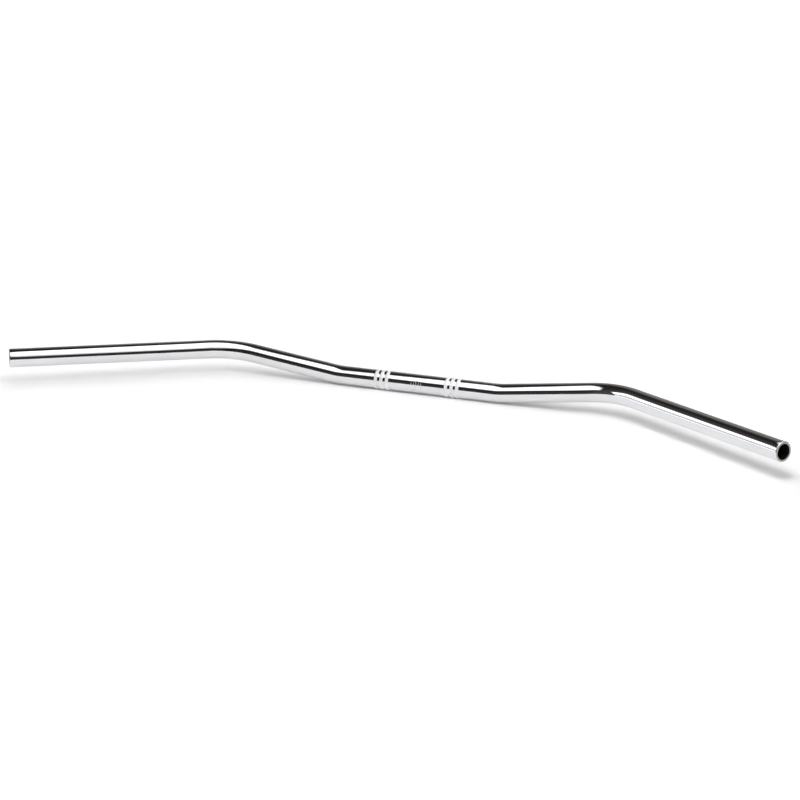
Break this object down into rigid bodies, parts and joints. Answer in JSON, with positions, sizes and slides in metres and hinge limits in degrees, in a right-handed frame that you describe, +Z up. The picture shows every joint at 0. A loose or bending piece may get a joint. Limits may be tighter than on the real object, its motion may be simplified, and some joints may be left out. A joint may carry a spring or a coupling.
{
  "type": "motorcycle handlebar",
  "caption": "Wide low-rise motorcycle handlebar bent from one chrome-plated steel tube, with swept-back grip ends and knurled bands for the clamps.",
  "frame": {"origin": "on the tube's axis at the middle of the straight clamping length, midway between the grips", "axes": "+X to the rider's right along the clamping length, +Y forward, +Z up, with the bar in its clamps and the grips swept back towards -Y"},
  "size_m": [0.9312, 0.1661, 0.0444],
  "materials": {
    "chrome": "polished chrome plate on steel, satin on the knurled bands, bare dark steel inside the bore"
  },
  "bodies": {
    "root": {"handlebar_tube": "chrome"}
  },
  "joints": []
}
